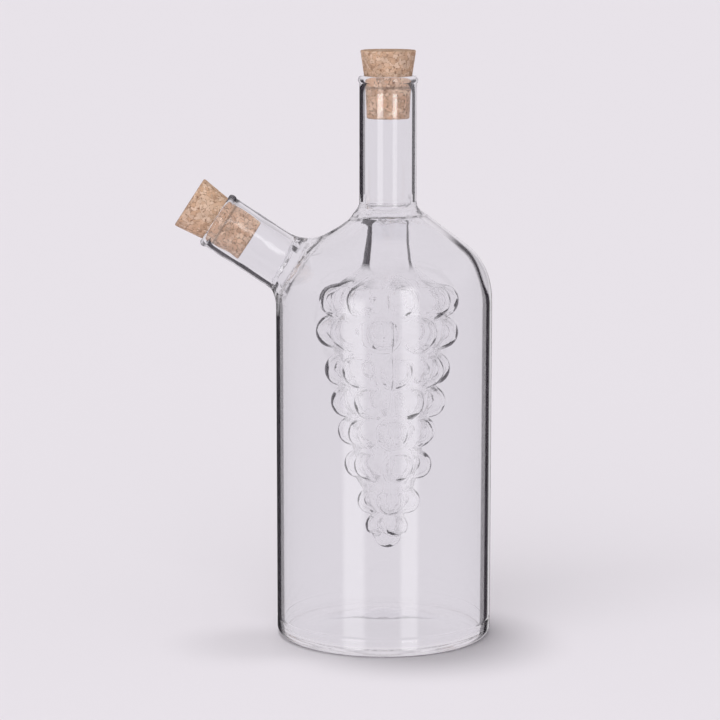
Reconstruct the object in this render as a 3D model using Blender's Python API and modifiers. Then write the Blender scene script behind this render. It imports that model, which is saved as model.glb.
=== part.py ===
"""Two-chamber oil and vinegar bottle in blown clear glass, with two cork stoppers.

The straight outer body holds the oil, which pours from a slanted side spout. The upright
neck opens through a narrow stem into a second, hollow vessel blown as a bunch of grapes,
which hangs inside the body and holds the vinegar. All sizes are in metres. +Z is up, the
origin is the centre of the foot, and the side spout points towards -X.
"""

from collections import namedtuple
from math import acos, ceil, cos, hypot, pi, radians, sin, sqrt, tan

import bpy
from mathutils import Vector

# Outer body: a straight tube drawn in to a rounded, then conical shoulder
body_radius = 0.0400
body_wall = 0.0025
shoulder_start = 0.1260
shoulder_bend = 0.0255
shoulder_slope = radians(36.2)

# Base: closed on last, with a rounded heel, a narrow resting ring and a pushed-up punt
heel_radius = 0.0030
heel_join = 0.0068
base_wall = 0.0026
resting_width = 0.0012
punt_height = 0.0050
inner_heel = 0.0030

# Tubing of the neck and of the side spout, with a fire-polished lip
tube_radius = 0.0105
tube_wall = 0.0019
lip_swell = 0.00055
lip_height = 0.0030
rim_height = 0.2090
neck_offset = 0.0014

# Ring seal, where neck, shoulder and stem are fused. It reaches down from the neck's foot
seal_radius = 0.0150
seal_fillet = 0.0050
seal_depth = 0.0105
stem_fillet = 0.0024
ledge_width = 0.0040

# Side spout: its axis leaves the body's axis a little below the shoulder and climbs away at
# this angle. Its length is what stands past the line of the wall
spout_angle = radians(33.0)
spout_drop = 0.0100
spout_length = 0.0267
weld_fillet = 0.0042
weld_edge = 0.0003

# Inner vessel: a stem that flares into the bunch
vessel_wall = 0.0013
stem_radius = 0.0074
stem_length = 0.0056
bunch_length = 0.1144
bunch_radius = 0.0207
grape_radius = 0.0062
grape_blend = 0.0014
core_margin = 0.0006

# Corks: a steep taper above the rim, and a shallow one where the bore squeezes them
cork_length = 0.0265
cork_top_radius = 0.01025
cork_rim_radius = 0.0091
cork_end_radius = 0.0077
cork_bevel = 0.0006
cork_rise = 0.0012
neck_cork_depth = 0.0167
spout_cork_depth = 0.0151

# Clearances: between neighbouring solids, and round a cork in its bore
gap = 0.0003
cork_gap = 0.00035

# Facets
shell_steps = 40
vessel_steps = 42
tube_steps = 28
arc_steps = 6
heel_steps = 4
ring_pitch = 0.0032
merge = 0.00005

# Outline of the stem's flare down to the first row of grapes, as drops below its top and
# radii, in shares of the bunch's length and radius
flare_outline = (
    (0.035, 0.386),
    (0.074, 0.493),
    (0.109, 0.749),
    (0.140, 0.952),
)

# Each row of grapes on the inner vessel: drop of their centres below the flare's top and
# radius of the ring that they stand on, in shares of the bunch's length and radius; size of
# a grape, in shares of the largest; how many; and how far the first is turned from the
# front, in degrees towards +X
GrapeRow = namedtuple("GrapeRow", "drop ring size count turn")
grape_rows = (
    GrapeRow(0.183, 0.990, 1.000, 9, 14),
    GrapeRow(0.284, 1.000, 1.000, 9, -6),
    GrapeRow(0.406, 0.850, 1.000, 8, 9),
    GrapeRow(0.511, 0.754, 0.984, 7, 27),
    GrapeRow(0.612, 0.638, 0.903, 7, 7),
    GrapeRow(0.721, 0.541, 0.871, 6, 20),
    GrapeRow(0.841, 0.353, 0.790, 5, 10),
    GrapeRow(0.925, 0.193, 0.726, 3, 50),
    GrapeRow(0.957, 0.000, 0.790, 1, 0),
)

# Places that follow from the sizes above
bore_radius = tube_radius - tube_wall
inner_radius = body_radius - body_wall
stem_bore = stem_radius - vessel_wall
bend_angle = pi / 2 - shoulder_slope
cone_radius = body_radius - shoulder_bend * (1 - cos(bend_angle))
cone_height = shoulder_start + shoulder_bend * sin(bend_angle)
cone_drop = body_wall / cos(shoulder_slope)
neck_foot = (
    cone_height
    + (cone_radius - tube_radius) * tan(shoulder_slope)
    + seal_fillet * tan(bend_angle / 2)
)
seal_height = cone_height + (cone_radius - seal_radius) * tan(shoulder_slope)
stem_top = neck_foot - seal_depth
flare_top = stem_top - stem_length
vessel_tip = flare_top - bunch_length * grape_rows[-1].drop - grape_radius * grape_rows[-1].size
spout_tilt = spout_angle - pi / 2
spout_axis = Vector((-cos(spout_angle), 0, sin(spout_angle)))
spout_start = Vector((0, 0, shoulder_start - spout_drop))
spout_root = inner_radius / 2
spout_reach = body_radius / cos(spout_angle) + spout_length


def clear_scene():
    """Empty the file of the objects it opened with."""
    for item in list(bpy.data.objects):
        bpy.data.objects.remove(item, do_unlink=True)


def new_collection(name):
    """Add a collection to the scene."""
    collection = bpy.data.collections.new(name)
    bpy.context.scene.collection.children.link(collection)
    return collection


def clear_glass(name):
    """Clear borosilicate glass, with the faint cool tone of a clean tube."""
    material = bpy.data.materials.new(name)
    material.use_nodes = True
    shader = material.node_tree.nodes["Principled BSDF"]
    shader.inputs["Base Color"].default_value = (0.97, 0.97, 0.98, 1)
    shader.inputs["Metallic"].default_value = 0.0
    shader.inputs["Roughness"].default_value = 0.02
    shader.inputs["IOR"].default_value = 1.473
    shader.inputs["Transmission Weight"].default_value = 1.0
    shader.inputs["Alpha"].default_value = 0.35
    return material


def ground_cork(name):
    """Agglomerated cork: matt, warm tan."""
    material = bpy.data.materials.new(name)
    material.use_nodes = True
    shader = material.node_tree.nodes["Principled BSDF"]
    shader.inputs["Base Color"].default_value = (0.57, 0.37, 0.24, 1)
    shader.inputs["Metallic"].default_value = 0.0
    shader.inputs["Roughness"].default_value = 0.85
    return material


def arc(centre, radii, start, end, steps=arc_steps):
    """Points on an arc of a circle or ellipse in the XZ plane, between two angles from +X."""
    angles = [start + (end - start) * step / steps for step in range(steps + 1)]
    return [(centre[0] + radii[0] * cos(a), centre[1] + radii[1] * sin(a)) for a in angles]


def turned(name, outline, steps, collection, material=None, closed=False):
    """Turn an outline about Z. It runs down its outer side, and ends on the axis or closes."""
    mesh = bpy.data.meshes.new(name)
    edges = [(i, i + 1) for i in range(len(outline) - 1)]
    if closed:
        edges.append((len(outline) - 1, 0))
    mesh.from_pydata([(x, 0, z) for x, z in outline], edges, [])
    if material:
        mesh.materials.append(material)
    body = bpy.data.objects.new(name, mesh)
    collection.objects.link(body)
    screw = body.modifiers.new("Turn", "SCREW")
    screw.axis = "Z"
    screw.steps = steps
    screw.render_steps = steps
    screw.use_merge_vertices = True
    screw.merge_threshold = merge
    screw.use_smooth_shade = True
    return body


def reshaped(body, rule):
    """Put a turned body's result in its mesh, and move each of its points by a rule."""
    depsgraph = bpy.context.evaluated_depsgraph_get()
    body.data = bpy.data.meshes.new_from_object(body.evaluated_get(depsgraph))
    body.modifiers.clear()
    for vertex in body.data.vertices:
        vertex.co = rule(vertex.co)
    return body


def faceted(body):
    """Split a body's quads all the same way, so that two like surfaces never cross."""
    triangulate = body.modifiers.new("Facets", "TRIANGULATE")
    triangulate.quad_method = "FIXED"
    return body


def cut(body, cutter):
    """Cut one body out of another, and show the cutter as wire outside the part."""
    boolean = body.modifiers.new("Cut " + cutter.name, "BOOLEAN")
    boolean.operation = "DIFFERENCE"
    boolean.solver = "EXACT"
    boolean.object = cutter
    cutter.display_type = "WIRE"
    cutter.hide_render = True


def along_spout(body, distance):
    """Stand a body that was made along +Z on the spout's axis."""
    body.location = spout_start + spout_axis * distance
    body.rotation_euler = (0, spout_tilt, 0)
    return body


def lean(height):
    """How far the shoulder is drawn towards +X at a height, up to the neck's own offset."""
    share = (height - shoulder_start) / (seal_height - shoulder_start)
    share = min(max(share, 0.0), 1.0)
    return neck_offset * share * share * (3 - 2 * share)


def leaned(point):
    """A point of the turned shoulder, drawn over towards the neck's axis."""
    return Vector((point.x + lean(point.z), point.y, point.z))


def shell_radius(height):
    """Outer radius of the body at a height below the neck."""
    rise = height - shoulder_start
    if rise <= 0:
        return body_radius
    if height <= cone_height:
        return body_radius - shoulder_bend + sqrt(shoulder_bend**2 - rise**2)
    return cone_radius - (height - cone_height) / tan(shoulder_slope)


def shoulder_outline(inset):
    """Outline of the shoulder from the seal down to the wall, or a line inset from it."""
    top = (seal_radius, seal_height - inset / cos(shoulder_slope))
    bend = shoulder_bend - inset
    centre = (body_radius - shoulder_bend, shoulder_start)
    return [top] + arc(centre, (bend, bend), bend_angle, 0)


def spout_height(point):
    """Height of the shoulder over the plane through the spout's start, square to its axis."""
    side = Vector((sin(spout_angle), 0, cos(spout_angle)))
    foot = spout_start + side * point.x + Vector((0, point.y, 0))
    low, high = 0.0, spout_reach
    while high - low > merge / 10:
        middle = (low + high) / 2
        place = foot + spout_axis * middle
        inside = hypot(place.x - lean(place.z), place.y) < shell_radius(place.z)
        low, high = (middle, high) if inside else (low, middle)
    return low


def draped(point):
    """A point of the spout's flat weld ring, set down on the curved shoulder."""
    return Vector((point.x, point.y, point.z + spout_height(point)))


def make_outer_body(part, cutters, glass):
    """Straight wall and shoulder drawn from one tube, with a hole for the spout."""
    outer = shoulder_outline(0.0) + [(body_radius, heel_join)]
    inner = shoulder_outline(body_wall) + [(inner_radius, heel_join)]
    body = turned("outer_body", outer + inner[::-1], shell_steps, part, glass, True)
    reshaped(body, leaned)
    hole_radius = tube_radius + gap
    hole_outline = [(0, spout_reach), (hole_radius, spout_reach), (hole_radius, 0), (0, 0)]
    hole = turned("spout_hole", hole_outline, tube_steps, cutters)
    cut(body, along_spout(hole, spout_root))


def punt_rise(radius):
    """Height of the underside at a radius, from the middle out to the resting ring."""
    edge = body_radius - heel_radius - resting_width
    share = min(radius / edge, 1.0)
    return punt_height * (1 + cos(pi * share)) / 2


def make_base(part, glass):
    """Heel, resting ring and punt, joined to the wall just above the heel."""
    floor_edge = inner_radius - inner_heel
    floor_radii = [floor_edge * step / arc_steps for step in range(arc_steps)]
    floor = [(radius, punt_rise(radius) + base_wall) for radius in floor_radii]
    floor_height = punt_rise(floor_edge) + base_wall
    inner_centre = (floor_edge, floor_height + inner_heel)
    inner = arc(inner_centre, (inner_heel, inner_heel), -pi / 2, 0, heel_steps)
    rim = [(inner_radius, heel_join - gap), (body_radius, heel_join - gap)]
    heel_centre = (body_radius - heel_radius, heel_radius)
    heel = arc(heel_centre, (heel_radius, heel_radius), 0, -pi / 2, heel_steps)
    edge = body_radius - heel_radius - resting_width
    under_radii = [edge * step / arc_steps for step in range(arc_steps, -1, -1)]
    under = [(radius, punt_rise(radius)) for radius in under_radii]
    turned("base", floor + inner + rim + heel + under, shell_steps, part, glass)


def tube_outline(root, rim):
    """Closed outline of a tube with a swollen lip, from its root to its rim."""
    middle = (bore_radius + tube_radius + lip_swell) / 2
    half_width = middle - bore_radius
    centre = (middle, rim - lip_height / 2)
    radii = (half_width, lip_height / 2)
    meet = -acos((tube_radius - middle) / half_width)
    outer = arc(centre, radii, pi / 2, meet)
    inner = arc(centre, radii, pi, pi / 2, heel_steps)[:-1]
    return outer + [(tube_radius, root), (bore_radius, root)] + inner


def make_neck_tube(part, glass):
    """Upright neck, from the ring seal to its lip."""
    tube = turned("neck_tube", tube_outline(neck_foot, rim_height), tube_steps, part, glass, True)
    tube.location.x = neck_offset


def make_side_spout(part, cutters, glass):
    """Slanted oil spout, whose tail is trimmed flush with the inside of the shoulder."""
    outline = tube_outline(0.0, spout_reach - spout_root)
    tube = turned("side_spout", outline, tube_steps, part, glass, True)
    along_spout(tube, spout_root)
    inside = shoulder_outline(body_wall) + [(inner_radius, heel_join), (0, heel_join)]
    oil_space = turned("oil_space", [(0, inside[0][1])] + inside, shell_steps, cutters)
    cut(tube, reshaped(oil_space, leaned))


def make_ring_seal(part, glass):
    """Fused collar that joins neck, shoulder and stem, with a ledge inside the bore."""
    rim = seal_radius - gap
    rim_rise = gap * tan(shoulder_slope)
    fillet_centre = (tube_radius + seal_fillet, neck_foot - gap)
    fillet = arc(fillet_centre, (seal_fillet, seal_fillet - gap), pi, pi + bend_angle)
    outer = fillet + [(rim, seal_height + rim_rise), (rim, seal_height + rim_rise - cone_drop)]
    under_centre = (stem_radius + stem_fillet, stem_top)
    under = arc(under_centre, (stem_fillet, stem_fillet), pi / 2, pi, heel_steps)
    ledge_foot = stem_top + stem_fillet
    ledge_centre = (bore_radius, ledge_foot)
    ledge_radii = (bore_radius - stem_bore, ledge_width)
    ledge = arc(ledge_centre, ledge_radii, pi, pi / 2, heel_steps)
    bore = [(stem_bore, stem_top)] + ledge + [(bore_radius, neck_foot - gap)]
    seal = turned("ring_seal", outer + under + bore, tube_steps, part, glass, True)
    seal.location.x = neck_offset


def make_spout_weld(part, glass):
    """Fused fillet round the spout's foot, lying on the shoulder."""
    inner = tube_radius + gap
    outer = inner + weld_fillet
    centre = (outer, weld_fillet + weld_edge + gap)
    flare = arc(centre, (weld_fillet, weld_fillet), pi, pi * 3 / 2, heel_steps)
    ring = flare + [(outer, gap), (inner, gap)]
    weld = turned("spout_weld", ring, tube_steps, part, glass, True)
    reshaped(weld, draped)
    along_spout(weld, 0.0)


def core_knots():
    """Height and radius of the blown core under the grapes, from the stem to the tip."""
    flare = [(flare_top - bunch_length * drop, bunch_radius * ring) for drop, ring in flare_outline]
    rows = [
        (flare_top - bunch_length * row.drop, bunch_radius * row.ring + core_margin)
        for row in grape_rows[:-1]
    ]
    return [(flare_top, stem_radius), *flare, *rows, (vessel_tip, 0.0)]


def core_radius(height):
    """Radius of the core at a height, on a smooth curve through its knots."""
    knots = core_knots()
    if height >= knots[0][0]:
        return stem_radius
    index = max(i for i, knot in enumerate(knots[:-1]) if height <= knot[0])
    (z0, r0), (z1, r1) = knots[index], knots[index + 1]
    before = knots[max(index - 1, 0)]
    after = knots[min(index + 2, len(knots) - 1)]
    slope0 = (r1 - before[1]) / (z1 - before[0]) * (z1 - z0)
    slope1 = (after[1] - r0) / (after[0] - z0) * (z1 - z0)
    t = min((height - z0) / (z1 - z0), 1.0)
    bend = (2 * r0 - 2 * r1 + slope0 + slope1) * t + (3 * r1 - 3 * r0 - 2 * slope0 - slope1)
    return max((bend * t + slope0) * t + r0, 0.0)


def blended(first, second):
    """The larger of two radii, rounded where they cross."""
    overlap = max(grape_blend - abs(first - second), 0.0) / grape_blend
    return max(first, second) + overlap * overlap * grape_blend / 4


def grape_places():
    """Centre and radius of every grape, about the vessel's own axis."""
    for row in grape_rows:
        ring = bunch_radius * row.ring
        height = flare_top - bunch_length * row.drop
        for index in range(row.count):
            turn = radians(row.turn) + 2 * pi * index / row.count
            yield Vector((ring * sin(turn), -ring * cos(turn), height)), grape_radius * row.size


def swollen(point, inset):
    """A point of the core pushed out to the grape that covers it, less an inset."""
    radius = hypot(point.x, point.y)
    if radius < merge:
        return point
    outward = Vector((point.x / radius, point.y / radius, 0))
    for centre, full in grape_places():
        size = full - inset
        if abs(centre.z - point.z) > size + grape_blend:
            continue
        offset = centre - Vector((0, 0, point.z))
        forward = offset.dot(outward)
        aside = (offset - outward * forward).length
        if forward < -merge:
            continue
        if aside < size:
            radius = blended(radius, forward + sqrt(size * size - aside * aside))
        else:
            radius = blended(radius, forward - (aside - size))
    return Vector((outward.x * radius, outward.y * radius, point.z))


def bunch_outline(inset, top):
    """Outline of the core, or of the space inside it, from the stem's top to the tip."""
    pole = vessel_tip + inset
    size = grape_radius * grape_rows[-1].size - inset
    rings = ceil((flare_top - pole - size) / ring_pitch)
    heights = [flare_top - (flare_top - pole - size) * i / rings for i in range(rings + 1)]
    cap = arc((0, pole + size), (size, size), 0, -pi / 2, heel_steps)[1:-1]
    side = [(max(core_radius(z) - inset, merge * 2), z) for z in heights]
    return [(0, top), (stem_radius - inset, top)] + side + cap + [(0, pole)]


def make_grape_vessel(part, cutters, glass):
    """Hollow vinegar vessel, blown as a bunch of grapes on a narrow stem."""
    top = stem_top - gap
    vessel = turned("grape_vessel", bunch_outline(0.0, top), vessel_steps, part, glass)
    faceted(reshaped(vessel, lambda point: swollen(point, 0.0)))
    space_outline = bunch_outline(vessel_wall, top + stem_fillet)
    space = turned("vinegar_space", space_outline, vessel_steps, cutters)
    faceted(reshaped(space, lambda point: swollen(point, vessel_wall)))
    vessel.location.x = neck_offset
    space.location.x = neck_offset
    cut(vessel, space)


def make_cork(name, depth, part, cork):
    """Tapered stopper with its origin on the rim's plane, pushed in to a depth."""
    top = cork_length - depth
    outline = [
        (0, top),
        (cork_top_radius - cork_bevel, top),
        (cork_top_radius, top - cork_bevel),
        (cork_rim_radius, cork_rise),
        (bore_radius - cork_gap, -lip_height / 2),
        (cork_end_radius, cork_bevel - depth),
        (cork_end_radius - cork_bevel, -depth),
        (0, -depth),
    ]
    return turned(name, outline, tube_steps, part, cork)


def main():
    """Build the bottle and its corks."""
    clear_scene()
    part = new_collection("oil_and_vinegar_bottle")
    cutters = new_collection("cutters")
    glass = clear_glass("clear_glass")
    cork = ground_cork("ground_cork")
    make_outer_body(part, cutters, glass)
    make_base(part, glass)
    make_neck_tube(part, glass)
    make_side_spout(part, cutters, glass)
    make_ring_seal(part, glass)
    make_spout_weld(part, glass)
    make_grape_vessel(part, cutters, glass)
    vinegar_stopper = make_cork("vinegar_stopper", neck_cork_depth, part, cork)
    vinegar_stopper.location = (neck_offset, 0, rim_height)
    oil_stopper = make_cork("oil_stopper", spout_cork_depth, part, cork)
    along_spout(oil_stopper, spout_reach)


main()
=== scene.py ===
"""Looks of a two-chamber oil and vinegar bottle: blown clear glass and ground cork.

The glass is one continuous piece, as the glass-blower leaves it: body, neck, side spout and
the inner vessel shaped as a bunch of grapes. Two cork stoppers close it. Everything is in
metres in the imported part's frame: +Z is up, the origin is the centre of the foot, the side
spout points towards -X and the viewer stands on the -Y side.
"""

from collections import namedtuple
from math import acos, atan2, cos, exp, hypot, pi, radians, sin, sqrt, tan

import bmesh
import bpy
from bpy.props import FloatProperty, FloatVectorProperty, PointerProperty
from mathutils import Matrix, Vector, noise


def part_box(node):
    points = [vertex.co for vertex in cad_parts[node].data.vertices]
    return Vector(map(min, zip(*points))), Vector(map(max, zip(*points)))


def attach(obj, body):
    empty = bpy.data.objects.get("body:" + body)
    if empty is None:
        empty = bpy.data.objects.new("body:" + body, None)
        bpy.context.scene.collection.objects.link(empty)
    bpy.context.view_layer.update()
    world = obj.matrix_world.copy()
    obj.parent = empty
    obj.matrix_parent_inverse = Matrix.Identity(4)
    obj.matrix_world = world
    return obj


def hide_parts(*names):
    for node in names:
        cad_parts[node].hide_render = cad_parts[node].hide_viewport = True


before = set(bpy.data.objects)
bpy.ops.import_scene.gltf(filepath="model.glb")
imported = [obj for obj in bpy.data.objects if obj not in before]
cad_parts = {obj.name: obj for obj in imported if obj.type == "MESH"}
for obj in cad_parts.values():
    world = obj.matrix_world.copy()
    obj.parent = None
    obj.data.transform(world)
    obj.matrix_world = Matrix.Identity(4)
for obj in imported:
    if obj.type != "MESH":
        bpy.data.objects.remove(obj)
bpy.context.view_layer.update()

bl_info = {
    "name": "Oil and vinegar bottle",
    "version": (1, 0, 0),
    "blender": (4, 5, 0),
    "location": "View3D > Sidebar > Bottle",
    "description": "Blown glass bottle with a grape-shaped inner vessel and two corks",
    "category": "Object",
}

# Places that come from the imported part
body_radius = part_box("outer_body")[1].y
rim_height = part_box("neck_tube")[1].z
neck_offset = sum(corner.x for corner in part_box("neck_tube")) / 2
vessel_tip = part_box("grape_vessel")[0].z

# Outer body: straight wall, then a rounded and a conical shoulder
body_wall = 0.0025
shoulder_start = 0.1260
shoulder_bend = 0.0255
shoulder_slope = radians(36.2)

# Where the hot shoulder sank: how far, where that starts and ends beside the neck, over what
# widths it fades there, and which share of the way round is full
sag_depth = 0.00175
sag_inner, sag_foot = 0.0003, 0.0045
sag_outer, sag_brow = 0.0305, 0.0145
sag_side, sag_turn = 0.35, 0.5

# Base: rounded heel, narrow resting ring, pushed-up punt with a nub where the rod held it
heel_radius = 0.0030
heel_join = 0.0068
join_groove = 0.00018
join_width = 0.0005
base_wall = 0.0026
resting_width = 0.0012
punt_height = 0.0050
inner_heel = 0.0020
nub_height = 0.0008
nub_radius = 0.0046

# Tubing of the neck and of the side spout, with a fire-polished lip
tube_radius = 0.0105
tube_wall = 0.0019
lip_swell = 0.00055
lip_height = 0.0030

# Ring seal, where neck, shoulder and stem are fused, with a painted dark ring on its top
seal_radius = 0.0150
painted_ring_radius = 0.01380
painted_ring_width = 0.00040
seal_fillet = 0.0050
seal_depth = 0.0086
stem_fillet = 0.0024
ledge_width = 0.0020

# Side spout, with fillets outside and inside the shoulder
spout_angle = radians(33.0)
spout_drop = 0.0100
spout_length = 0.0267
weld_fillet = 0.0042
weld_rise = 0.0030
root_fillet = 0.0022
root_hole = 0.0120
root_lap = 0.0006
weld_sink = 0.00006

# Flowed glass: where its waves are highest and how wide they spread, below the neck's foot
# and out from the spout's tube; how far out from the seal and from which place along the
# spout there are any; how fine the two waves are; and the least share that shows
seal_flow, seal_spread = 0.0055, 0.0038
weld_flow, weld_spread = 0.0016, 0.0026
flow_margin, flow_start = 0.004, 0.02
wave_scales = 310, 640
least_flow = 0.02

# Inner vessel
vessel_wall = 0.0013
stem_radius = 0.0085
stem_length = 0.0075
bunch_length = 0.1144
bunch_radius = 0.0207
core_margin = 0.0006
least_radius = 0.0002
grape_lift = 0.0022
grape_reach = radians(84)
scatter_seed = 1
seam_turn = radians(3.9)
seam_height = 0.00022
seam_width = 0.00034

# Outline of the stem's flare, as drops below its top and radii, in shares of the bunch's
# length and radius
flare_outline = (0.035, 0.440), (0.074, 0.510), (0.109, 0.749), (0.140, 0.952)

# Rows of grapes: drop of their centres below the flare's top and radius of their ring, in
# shares of the bunch's length and radius; size, in shares of the largest grape; how many;
# and how far the first is turned from the front, in degrees towards +X
GrapeRow = namedtuple("GrapeRow", "drop ring size count turn")
grape_rows = (
    GrapeRow(0.183, 0.990, 1.000, 9, 14),
    GrapeRow(0.284, 1.000, 1.000, 9, -6),
    GrapeRow(0.406, 0.850, 1.000, 8, 9),
    GrapeRow(0.511, 0.754, 0.984, 7, 27),
    GrapeRow(0.612, 0.638, 0.903, 7, 7),
    GrapeRow(0.721, 0.541, 0.871, 6, 20),
    GrapeRow(0.841, 0.353, 0.790, 5, 10),
    GrapeRow(0.925, 0.193, 0.726, 3, 50),
    GrapeRow(0.957, 0.000, 0.790, 1, 0),
)

# Facets: columns round the bottle, the spout and a cork, rings along a tube, steps of the
# spout's fillets, bands over a grape, steps left out above the shoulder's crease, and the
# least distance between two rings of the bunch and of a cork
turn_steps, spout_steps, cork_steps = 150, 112, 180
tube_rings, weld_steps, root_steps = 12, 16, 8
grape_bands = 12
crease_steps = 3
least_band = 0.00025
cork_pitch = 0.00035

# Painted light and shade on the cork: painted shade on its top, painted light where glass
# covers it, and how much darker a painted shadow line is under the lip
painted_top_shade = 0.60
painted_light_in_glass = 1.35
painted_lip_shade = 0.5

# Turns that light may take inside the glass: thick joints need many
light_bounces = 160

# Painted shade along the glass's edges: where it starts as a wall turns away, where it stops
# for a light rim, both from 0 head on to 1 edge on, how dark it gets, and how much earlier
# it is half dark
Edge = namedtuple("Edge", "start rim strength step")
no_rim = 3.0
inner_edge = Edge(0.6, no_rim, 0.0, 0.0)
painted_seam_line = Edge(0.0, no_rim, 0.6, 0.2)

# Painted dark edges of the left and the right of body, neck and stem; of the shoulder's left,
# and of its right low and high; and of the spout's underside and top. Left and right differ
# as the light falls from one side
wall_sides = Edge(0.725, 1.2, 1.0, 0.085), Edge(0.665, 0.79, 1.0, 0.085)
neck_sides = Edge(0.50, 1.2, 1.0, 0.10), Edge(0.44, 0.63, 0.955, 0.0)
stem_sides = Edge(0.27, 0.72, 1.0, 0.0), Edge(0.42, 0.56, 0.97, 0.03)
crown_left = Edge(0.77, 1.2, 1.0, 0.0)
crown_right = Edge(0.59, 0.64, 1.0, 0.03), Edge(0.68, 0.77, 1.0, 0.03)
spout_sides = Edge(0.47, 0.70, 1.0, 0.02), Edge(0.62, 0.74, 0.85, 0.0)

# Heights at which a painted edge changes: from bunch to stem, where the stem's fades in, where
# the shoulder's right turns from low to high and where its edge ends, and the seam's two ends
stem_foot, stem_fade = 0.1362, 0.1375
crown_low, crown_end = 0.136, 0.158
seam_low, seam_high = 0.095, 0.121

# Which glass is the spout's and the stem's: how far towards -X and along its axis the spout's
# fillet and its tube begin, and how wide the stem is at most
spout_edge_x = -0.02
weld_begin, tube_begin = 0.036, 0.042
stem_reach = 0.0095

# Places that follow from the sizes above
bore_radius = tube_radius - tube_wall
inner_radius = body_radius - body_wall
stem_bore = stem_radius - vessel_wall
bend_angle = pi / 2 - shoulder_slope
cone_radius = body_radius - shoulder_bend * (1 - cos(bend_angle))
cone_height = shoulder_start + shoulder_bend * sin(bend_angle)
cone_drop = body_wall / cos(shoulder_slope)
neck_foot = (
    cone_height
    + (cone_radius - tube_radius) * tan(shoulder_slope)
    + seal_fillet * tan(bend_angle / 2)
)
seal_height = cone_height + (cone_radius - seal_radius) * tan(shoulder_slope)
stem_top = neck_foot - seal_depth
flare_top = stem_top - stem_length
floor_edge = inner_radius - inner_heel
rest_edge = body_radius - heel_radius - resting_width
spout_axis = Vector((-cos(spout_angle), 0, sin(spout_angle)))
spout_side = Vector((sin(spout_angle), 0, cos(spout_angle)))
spout_start = Vector((0, 0, shoulder_start - spout_drop))
spout_reach = body_radius / cos(spout_angle) + spout_length
spout_turn = Matrix.Rotation(spout_angle - pi / 2, 4, "Y")
glass_nodes = (
    "outer_body", "base", "neck_tube", "side_spout", "ring_seal", "spout_weld", "grape_vessel",
)


def number(name, default, description, **settings):
    """A setting that is a number."""
    return FloatProperty(name=name, description=description, default=default, **settings)


def length(name, default, description):
    """A setting in metres."""
    return number(name, default, description, unit="LENGTH")


def tint(name, default, description):
    """A setting that is a colour."""
    return FloatVectorProperty(
        name=name, description=description, default=default, subtype="COLOR"
    )


class GlassSettings(bpy.types.PropertyGroup):
    """Sizes and tone of the glass, and the painted shade along its edges."""

    grape_radius: length(
        "Grape radius", 0.0062, "Radius of the largest grapes of the inner vessel"
    )
    grape_blend: length(
        "Valley", 0.0014, "How far the blown glass rounds off the valley beside a grape"
    )
    grape_scatter: length("Scatter", 0.0003, "How far a grape may stand off its place in the row")
    flow: length("Flow", 0.00022, "Height of the uneven glass left where two parts were fused")
    tone: tint("Tone", (0.955, 0.957, 0.965), "What a wall of the glass lets through")
    thin_tone: tint(
        "Thin tone", (0.996, 0.995, 0.997), "What the thin wall of the inner vessel lets through"
    )
    # Painted shade: the dark colour the glass gets along its edges, in place of the dark
    # surroundings that real glass shows there
    painted_edge_shade: tint(
        "Painted edge shade",
        (0.0030, 0.0024, 0.0034),
        "What is left of the light where a wall is seen edge on",
    )
    ior: number("Refractive index", 1.473, "Refractive index of borosilicate glass")


class CorkSettings(bpy.types.PropertyGroup):
    """Sizes and colours of the two corks, which are alike."""

    rise: length("Neck cork rise", 0.0093, "How far the vinegar cork stands out of its mouth")
    top_radius: length("Top radius", 0.01017, "Radius of a cork at its top")
    shank_radius: length("Shank radius", 0.00848, "Radius where the bore squeezes a cork")
    end_radius: length("End radius", 0.00785, "Radius of a cork at its lower end")
    wear: length("Edge wear", 0.0005, "Radius of the worn edges")
    granule: length("Granule", 0.0015, "Width of a cork granule")
    relief: length("Relief", 0.00010, "Depth of the joints between granules")
    pit: length("Pits", 0.00030, "Depth of the pits where a granule broke out")
    neck_depth: length("Neck cork depth", 0.0156, "How deep the vinegar cork is pushed in")
    spout_depth: length("Spout cork depth", 0.0151, "How deep the oil cork is pushed in")
    spout_rise: length("Spout cork rise", 0.0112, "How far the oil cork stands out of its mouth")
    colour: tint("Cork", (0.61, 0.395, 0.268), "Colour of most granules")
    light_colour: tint("Light cork", (0.75, 0.545, 0.412), "Colour of the palest granules")
    dark_colour: tint("Bark", (0.19, 0.095, 0.055), "Colour of the specks of bark")


class StudioSettings(bpy.types.PropertyGroup):
    """Camera, floor and light."""

    distance: length("Distance", 1.0, "How far the camera stands in front of the bottle's axis")
    height: length("Height", 0.265, "Height of the camera above the floor")
    aside: length("Aside", 0.0089, "How far the camera stands to the left of the bottle")
    pitch: number("Pitch", radians(9.17), "How far the camera looks down", subtype="ANGLE")
    lens: number("Lens", 136.15, "Focal length of the camera", unit="CAMERA")
    backdrop: tint(
        "Backdrop", (0.791, 0.752, 0.799), "Colour of the floor and of what lies behind it"
    )
    fill: number("Fill", 0.36, "Even light from all round, a little more from the front")
    ceiling: number(
        "Ceiling", 0.6, "How bright the ceiling looks through the glass, next to the backdrop"
    )
    key: number("Key", 1.45, "Strength of the high lamp on the left")
    front: number("Front light", 1.5, "Strength of the broad light beside the camera")
    strip: number("Strip lights", 2.6, "Brightness of the tall lights that the glass mirrors")


def clear_scene():
    """Remove the default objects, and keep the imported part's own."""
    for name in ("Cube", "Camera", "Light"):
        item = bpy.data.objects.get(name)
        if item:
            bpy.data.objects.remove(item, do_unlink=True)


def new_object(name, data):
    """Add an object to the scene."""
    item = bpy.data.objects.new(name, data)
    bpy.context.scene.collection.objects.link(item)
    return item


def new_piece(name, mesh, *materials):
    """Add an object for a finished mesh."""
    mesh.name = name
    for material in materials:
        mesh.materials.append(material)
    return new_object(name, mesh)


def mesh_from(name, bm):
    """Mesh of what was built, which is then let go."""
    mesh = bpy.data.meshes.new(name)
    bm.to_mesh(mesh)
    bm.free()
    return mesh


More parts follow.
